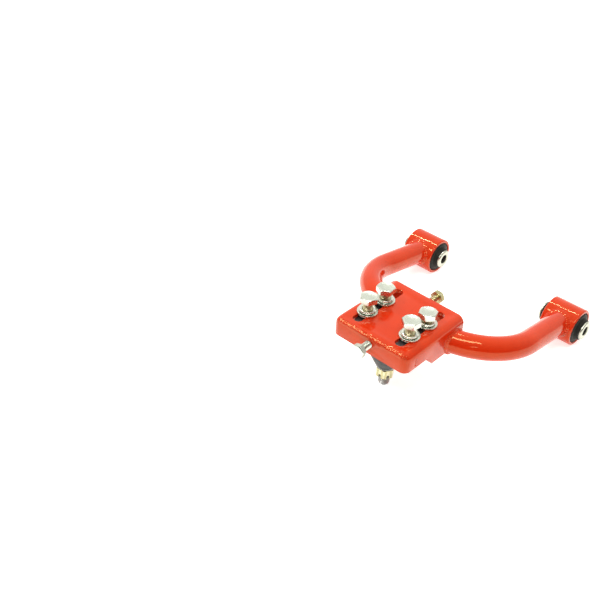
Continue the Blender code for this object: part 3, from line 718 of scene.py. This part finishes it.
def bushes(side):
    rim = 0.0009
    eye = mirrored([(EYE_HALF, EYE_RADIUS - rim), (EYE_HALF - rim, EYE_RADIUS)])
    bevel = 0.0004
    eye += [(-EYE_HALF, EYE_BORE + bevel), (-EYE_HALF + bevel, EYE_BORE), (EYE_HALF - bevel, EYE_BORE),
            (EYE_HALF, EYE_BORE + bevel)]
    bush("bushing_eye", side, eye, "arm", POWDER, 0.0004)

    shell = EYE_BORE - GAP
    profile = [(SHELL_HALF, shell), (-SHELL_HALF, shell), (-SHELL_HALF, SHELL_BORE), (SHELL_HALF, SHELL_BORE)]
    bush("bushing_shell", side, profile, "arm", STEEL)

    face = EYE_HALF + 0.0006
    flange = SHELL_HALF + GAP
    rubber = mirrored([(HUB_HALF, HUB_RADIUS - 0.0012), (HUB_HALF - 0.0010, HUB_RADIUS),
                       (face + 0.0024, HUB_RADIUS), (face + 0.0004, HUB_RADIUS + 0.0012),
                       (face, FLANGE_RADIUS - 0.0022),
                       (face - 0.0009, FLANGE_RADIUS - 0.0004), (face - 0.0018, FLANGE_RADIUS),
                       (flange, FLANGE_RADIUS), (flange, SHELL_BORE - GAP)])
    bore = SLEEVE_RADIUS + RUNNING
    rubber += [(-HUB_HALF, bore), (HUB_HALF, bore)]
    bush("bushing_rubber", side, rubber, "arm", RUBBER, 0.0006)

    sleeve = mirrored([(SLEEVE_HALF, SLEEVE_RADIUS - rim), (SLEEVE_HALF - rim, SLEEVE_RADIUS)])
    bevel = 0.0007
    sleeve += [(-SLEEVE_HALF, SLEEVE_BORE + bevel), (-SLEEVE_HALF + bevel, SLEEVE_BORE),
               (SLEEVE_HALF - bevel, SLEEVE_BORE), (SLEEVE_HALF, SLEEVE_BORE + bevel)]
    made = bush("bushing_sleeve", side, sleeve, word(side) + "_sleeve", SLEEVE_ZINC)
    middle = ARM @ Vector((side * EYE.x, EYE.y, EYE.z))
    # The faces inside the bore get the near-black finish: painted shade for the dark inside of the hole.
    made.data.materials.append(PAINTED_SHADE_BORE)
    for face in made.data.polygons:
        if (face.center - middle).yz.length < SLEEVE_BORE + 0.0002:
            face.material_index = 1


# ---------------------------------------------------------------- carrier and ball joint

def carrier_plate():
    width, front, rear, thickness = CARRIER
    corner = 0.004
    outline = []
    right, left = width / 2 - corner, corner - width / 2
    back, fore = rear - corner, front + corner
    for x, y, start in ((right, back, 0), (left, back, 90), (left, fore, 180), (right, fore, 270)):
        outline += arc((x, y), corner, start, start + 90, 10)
    top = -PLATE - GAP
    plate = prism("carrier_plate", outline, (top - thickness, top))
    cutters = []
    for x, y, _, _ in BOLTS.values():
        rows = [ring(z, M10["radius"] + RUNNING, 48) for z in (0.01, -0.03)]
        cutters.append(loose("bolt_cutter", from_rows(rows), Matrix.Translation((x, y, 0))))
    rows = [ring(z, CUP_NECK + GAP, 64) for z in (0.01, -0.03)]
    cutters.append(loose("cup_cutter", from_rows(rows), on_ball()))
    carved(plate, cutters)
    eased(plate, 0.0005)
    return piece(plate, BLACK_STEEL, "carrier", ["carrier_plate"])


def sphere_profile(radius, top, bottom, steps):
    start, end = math.acos((top - BALL.z) / radius), math.acos((bottom - BALL.z) / radius)
    angles = np.linspace(start, end, steps + 1)
    return [(BALL.z + radius * math.cos(a), radius * math.sin(a)) for a in angles]


def thread_rows(radius, pitch, top, bottom, sides):
    """Rows down a screw thread, whose crest winds round as it goes down."""
    depth = 0.61 * pitch
    rows = []
    count = int((top - bottom) / pitch * 10)
    for i in range(count + 1):
        z = top + (bottom - top) * i / count
        fade = min(1.0, (z - bottom) / (pitch * 0.9) + 0.15)
        row = []
        for k in range(sides):
            share = (z / pitch - k / sides) % 1.0
            crest = min(1.0, 2.35 * abs(share - 0.5))
            r = radius - depth * (1 - crest * fade)
            angle = 2 * math.pi * k / sides
            row.append(Vector((r * math.cos(angle), r * math.sin(angle), z)))
        rows.append(row)
    return rows


def ball_joint():
    neck_top = -PLATE - 2 * GAP
    neck_bottom = -PLATE - CARRIER[3] - 2 * GAP
    lip = CUP_BOTTOM + CUP_LIP
    cup = [(neck_top, CUP_NECK), (neck_bottom, CUP_NECK), (neck_bottom, CUP_RADIUS),
           (CUP_BOTTOM + 0.001, CUP_RADIUS), (CUP_BOTTOM, 0.014), (CUP_BOTTOM, 0.0112), (lip, CUP_MOUTH),
           (lip, CUP_BORE), (neck_top, CUP_BORE)]
    made = turned("ball_joint_housing", cup, True, on_ball())
    piece(made, BLACK_STEEL, "carrier", own(made))
    cap_top = neck_top - GAP
    centre = 0.0001
    cap = [(cap_top - 0.0004, centre), (cap_top - 0.0004, 0.0075), (cap_top, 0.0085), (cap_top, CAP_RADIUS),
           (cap_top - CAP_THICKNESS, CAP_RADIUS), (cap_top - CAP_THICKNESS, centre)]
    made = turned("ball_joint_cap", cap, False, on_ball())
    piece(made, BLACK_STEEL, "carrier", own(made))
    seat = sphere_profile(BALL_RADIUS + RUNNING, SEAT_TOP, lip + GAP, 24)
    top = cap_top - CAP_THICKNESS - GAP
    liner = [(top, seat[0][1]), (top, CAP_RADIUS), (lip + GAP, CAP_RADIUS)] + list(reversed(seat))
    made = turned("bearing_liner", liner, True, on_ball(), 96, 0.0002)
    piece(made, ACETAL, "carrier", own(made))


def ball_stud():
    sides = 72
    neck_z = BALL.z - math.sqrt(BALL_RADIUS ** 2 - NECK_RADIUS ** 2)
    profile = sphere_profile(BALL_RADIUS, BALL_TOP, neck_z, 24)
    profile += [(neck_z - 0.001, 0.0048), (NECK_END, NECK_RADIUS), (TAPER_END, TAPER_RADIUS),
                (NUT_TOP + GAP, TAPER_RADIUS)]
    rows = [ring(z, r, sides) for z, r in profile]
    rows += thread_rows(STUD_RADIUS, STUD_PITCH, NUT_TOP + SKIN, STUD_TIP + 0.0012, sides)
    for rise, inset in ((0.0009, 0.0006), (0, 0.0013)):
        rows.append(ring(STUD_TIP + rise, STUD_RADIUS - inset, sides))
    stud = loose("ball_stud", from_rows(rows), on_ball())
    hole = NUT_TOP - NUT_SOLID - PIN_BELOW_SLOT
    rows = [ring(z, PIN_RADIUS, 24) for z in (0.02, -0.02)]
    carved(stud, [loose("pin_cutter", from_rows(rows), along_y((0, BALL.y, hole), 1, 0))])
    return piece(stud, STEEL, "stud", ["ball_stud"], sharp=50)


def castle_nut():
    sides = 96
    corner = NUT_FLATS / math.sqrt(3)
    end = NUT_TOP - NUT_HEIGHT
    bore = STUD_RADIUS + RUNNING
    lead = 0.0006
    face = NUT_FLATS / 2 * 0.95
    growth = corner - face
    rows = [ring(NUT_TOP - lead, bore, sides), ring(NUT_TOP, bore + lead, sides)]
    for k in range(7):
        rows.append(ring(NUT_TOP - NUT_CHAMFER * k / 6, face + growth * k / 6, sides, NUT_FLATS))
    for k in range(7):
        rows.append(ring(end + NUT_CHAMFER * (1 - k / 6), corner - growth * k / 6, sides, NUT_FLATS))
    rows += [ring(end, bore + lead, sides), ring(end + lead, bore, sides)]
    nut = loose("castle_nut", from_rows(rows, closed=True), on_ball())
    cutters = []
    depth = NUT_HEIGHT - NUT_SOLID
    half, reach = NUT_SLOT_HALF, 0.02
    outline = [(half, -0.01)] + arc((0, depth - half), half, 0, 180, 12) + [(-half, -0.01)]
    for i in range(3):
        place = Matrix.Translation((0, BALL.y, end)) @ Matrix.Rotation(math.radians(60 * i), 4, "Z")
        cutters.append(prism("slot_cutter", outline, (-reach, reach), "xzy", place))
    carved(nut, cutters)
    eased(nut, 0.00022, 2, 50)
    return piece(nut, YELLOW_ZINC, "stud", ["castle_nut"], sharp=42)


def dust_boot():
    """The boot in two pieces that meet at its crease."""
    grip = CUP_RADIUS + GAP
    groove, shoulder = grip + 0.0012, grip + 0.0018
    outside, inside = 0.0164, 0.0147  # at the crease
    outer = [(BOOT_TOP, groove), (-0.0241, shoulder), (-0.0255, shoulder), (-0.0258, groove),
             (-0.0276, groove), (-0.0280, grip + 0.0020), (-0.0300, 0.0181), (-0.0320, 0.0184),
             (-0.0350, 0.01845), (-0.0380, 0.0180), (-0.0400, 0.0172), (BOOT_SPLIT, outside)]
    inner = [(BOOT_SPLIT, inside), (-0.0400, 0.0157), (-0.0370, 0.0166), (-0.0340, 0.0169),
             (-0.0320, 0.0169), (CUP_BOTTOM - GAP, grip), (BOOT_TOP, grip)]
    upper = turned("dust_boot", outer + inner, True, on_ball(), 96, 0.0004)
    piece(upper, BOOT_RUBBER, None, ["dust_boot"])
    outer = [(BOOT_SPLIT, outside), (-0.0440, 0.01525), (-0.0470, 0.0137), (-0.0500, 0.01215),
             (-0.0524, 0.0107), (-0.0530, 0.0095), (-0.0543, 0.0095), (BOOT_END, 0.0098)]
    inner = [(BOOT_END, 0.0069), (-0.0515, 0.0069), (-0.0495, 0.0101), (-0.0450, 0.0128),
             (BOOT_SPLIT, inside)]
    lower = turned("dust_boot_skirt", outer + inner, True, on_ball(), 96, 0.0004)
    piece(lower, BOOT_RUBBER, None, [])
    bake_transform(upper)
    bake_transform(lower)


def clip_ring(name, z, radius, body):
    """A spring-wire ring: two turns of thin wire side by side."""
    wire = 0.00032
    rows = []
    steps = 260
    for i in range(steps + 1):
        share = i / steps
        angle = 2 * math.pi * 2 * share
        height = z + wire * (1.9 * share - 0.95)
        out = Vector((math.cos(angle), math.sin(angle), 0))
        centre = out * radius + Vector((0, 0, height))
        turns = (2 * math.pi * k / 8 for k in range(8))
        row = [centre + out * wire * math.cos(a) + Vector((0, 0, wire * math.sin(a))) for a in turns]
        rows.append(row)
    made = loose(name, from_rows(rows), on_ball())
    return piece(made, STEEL, body, [name])


# ---------------------------------------------------------------- fasteners

def screw_rows(size, length, sides=72):
    """Rows of a hexagon-headed screw: a chamfered head with its underside at z = 0, then its thread."""
    flats, head, radius = size["flats"], size["head"], size["radius"]
    corner = flats / math.sqrt(3)
    face = flats / 2 * 0.94
    rows = [ring(head - 0.00012, face * 0.80, sides), ring(head, face * 0.84, sides), ring(head, face, sides)]
    for k in range(9):
        limit = face + (corner - face) * k / 8
        rows.append(ring(head - (limit - face) * 0.62 - 0.00005, limit, sides, flats))
    rows += [ring(0.0006, corner, sides, flats), ring(0.0003, corner * 0.985, sides, flats),
             ring(0.0002, flats / 2 * 0.96, sides), ring(0, flats / 2 * 0.94, sides),
             ring(0, radius * 1.12, sides), ring(-0.0003, radius * 0.94, sides)]
    rows += thread_rows(radius, size["pitch"], -0.0005, -length + 0.0009, sides)
    rows += [ring(-length + 0.0004, radius * 0.82, sides), ring(-length, radius * 0.74, sides)]
    return rows


def screw(name, size, length, place, finish_used, body):
    made = loose(name, from_rows(screw_rows(size, length)), place)
    piece(made, finish_used, body, [name], sharp=33)
    return made


def oil_thread(made, place, depth):
    """Gives the faces of a screw's thread the oiled finish."""
    made.data.materials.append(THREAD)
    back = (ARM @ place).inverted()
    for face in made.data.polygons:
        if (back @ face.center).z < depth:
            face.material_index = 1


def clamp_bolts():
    for place_name, (x, y, stand, turned_by) in BOLTS.items():
        place = Matrix.Translation((x, y, stand)) @ Matrix.Rotation(math.radians(turned_by), 4, "Z")
        body = "bolt_" + place_name
        made = screw("clamp_bolt_" + place_name, M10, BOLT_LENGTH, place, ZINC, body)
        oil_thread(made, place, -0.0002)


def washers():
    """A flat washer under each bolt, with a split spring washer on top of it."""
    bore = M10["radius"] + GAP
    rim, edge = SPRING_RADIUS, 0.0003
    profile = [(WASHER_THICK, bore), (WASHER_THICK, WASHER_RADIUS), (0, WASHER_RADIUS), (0, bore)]
    for place_name, (x, y, _, _) in BOLTS.items():
        made = turned("flat_washer_" + place_name, profile, True, Matrix.Translation((x, y, GAP)), 96)
        piece(made, ZINC, "carrier", own(made))
        rows = []
        for i in range(121):
            share = i / 120
            angle = math.radians(4 + 352 * share)
            base = SPRING_RISE * share
            top = base + SPRING_THICK
            corners = [(bore, base + edge), (bore + edge, base), (rim - edge, base), (rim, base + edge),
                       (rim, top - edge), (rim - edge, top), (bore + edge, top), (bore, top - edge)]
            rows.append([Vector((r * math.cos(angle), r * math.sin(angle), z)) for r, z in corners])
        place = Matrix.Translation((x, y, WASHER_THICK + 2 * GAP))
        made = loose("spring_washer_" + place_name, from_rows(rows), place)
        piece(made, ZINC, "carrier", own(made), sharp=50)


def adjuster(name, head_face, tip, turned_by, finish_used, body):
    outward = 1 if head_face > tip else -1
    underside = head_face - outward * M8["head"]
    place = along_y((0, underside, ADJUSTER_Z), outward, turned_by)
    return screw(name, M8, abs(tip - underside), place, finish_used, body)


housing_channel()
front_plate()
rear_plate()
front_weld()
housing_corner(-1)
housing_corner(1)
for arm_side in (-1, 1):
    seam_weld(arm_side)
    leg_tube(arm_side)
    wall_weld(arm_side)
    eye_weld(arm_side)
    bushes(arm_side)
carrier_plate()
ball_joint()
ball_stud()
castle_nut()
dust_boot()
for clip, (clip_z, clip_radius, clip_body) in CLIPS.items():
    clip_ring("boot_clip_" + clip, clip_z, clip_radius, clip_body)
clamp_bolts()
washers()
front, rear = CARRIER[1] - GAP, CARRIER[2] + GAP
adjuster("adjuster_screw_front", FRONT_HEAD_Y, front, 15, ZINC, "front_adjuster")
adjuster("adjuster_screw_rear", REAR_HEAD_Y, rear, 5, YELLOW_ZINC, "rear_adjuster")


# ---------------------------------------------------------------- floor, light and camera

def floor():
    bm = bmesh.new()
    bmesh.ops.create_grid(bm, x_segments=8, y_segments=8, size=6)
    mesh = bpy.data.meshes.new("floor")
    bm.to_mesh(mesh)
    bm.free()
    made = bpy.data.objects.new("floor", mesh)
    bpy.context.scene.collection.objects.link(made)
    paper = finish("floor_paper", ((0.80, 0.80, 0.79), (0.78, 0.78, 0.77)), (0.7, 0.8), patch=3,
                   grain=(400, 0.00002), waves=(20, 0.0001))
    shader = paper.node_tree.nodes["Principled BSDF"]
    shader.inputs["Emission Color"].default_value = (1, 0.99, 0.97, 1)
    shader.inputs["Emission Strength"].default_value = 0.74
    made.data.materials.append(paper)


def studio():
    """A room that is bright above and behind the object and darker on the camera's side."""
    world = bpy.data.worlds.new("studio")
    bpy.context.scene.world = world
    world.use_nodes = True
    tree = world.node_tree
    tree.nodes.clear()
    where = node(tree, "ShaderNodeTexCoord").outputs["Generated"]
    away = node(tree, "ShaderNodeVectorMath", operation="DOT_PRODUCT")
    away.inputs[1].default_value = (-0.55, 0.70, 0.46)
    tree.links.new(where, away.inputs[0])
    bright = ranged(tree, away.outputs["Value"], -0.6, 0.7, 0.02, 1.08)
    room = node(tree, "ShaderNodeBackground", {"Color": (1.0, 0.99, 0.93, 1)})
    tree.links.new(bright, room.inputs["Strength"])
    seen = node(tree, "ShaderNodeBackground", {"Color": (1, 1, 1, 1), "Strength": 1.0})
    ray = node(tree, "ShaderNodeLightPath").outputs["Is Camera Ray"]
    mix = node(tree, "ShaderNodeMixShader")
    tree.links.new(ray, mix.inputs["Fac"])
    tree.links.new(room.outputs[0], mix.inputs[1])
    tree.links.new(seen.outputs[0], mix.inputs[2])
    out = node(tree, "ShaderNodeOutputWorld")
    tree.links.new(mix.outputs[0], out.inputs["Surface"])


def softbox(name, at, aim, size, power, colour=(1.0, 0.98, 0.94), roll=0.0):
    lamp = bpy.data.lights.new(name, "AREA")
    lamp.shape = "RECTANGLE"
    lamp.size, lamp.size_y = size
    lamp.energy = power
    lamp.color = colour
    made = bpy.data.objects.new(name, lamp)
    bpy.context.scene.collection.objects.link(made)
    facing = (Vector(aim) - Vector(at)).to_track_quat("-Z", "Y").to_matrix().to_4x4()
    made.matrix_world = Matrix.Translation(at) @ facing @ Matrix.Rotation(math.radians(roll), 4, "Z")


def camera():
    """Stands at three-quarter front, from above, with the arm in the right half of the picture."""
    eye = Vector((0.41972, -0.57955, 0.56701))
    back = Vector((0.53072, -0.60311, 0.59548)).normalized()
    right = Vector((0.72809, 0.68407, 0.04392))
    right = (right - back * right.dot(back)).normalized()
    upward = back.cross(right)
    pose = Matrix((right, upward, back)).transposed().to_4x4()
    pose.translation = eye
    lens = bpy.data.cameras.new("camera")
    lens.sensor_width = 36
    lens.lens = 57.33
    lens.clip_start = 0.01
    lens.clip_end = 50
    made = bpy.data.objects.new("camera", lens)
    bpy.context.scene.collection.objects.link(made)
    made.matrix_world = ARM @ pose
    bpy.context.scene.camera = made


bpy.context.scene.view_settings.view_transform = "Standard"
floor()
studio()
softbox("overhead", (0.27, -0.38, 1.25), (0.05, 0.02, 0.0), (0.95, 0.22), 9, roll=21)
softbox("left_strip", (-0.62, -1.07, 1.75), (0, 0.10, 0.03), (0.5, 0.25), 8, roll=25)
softbox("eye_strip", (-0.575, 0.44, 1.33), (0.0, 0.108, 0.03), (0.9, 0.035), 7, roll=-32)
softbox("low_strip", (0.95, -0.92, 0.85), (0.05, 0.0, 0.03), (0.30, 0.03), 0.4)
camera()
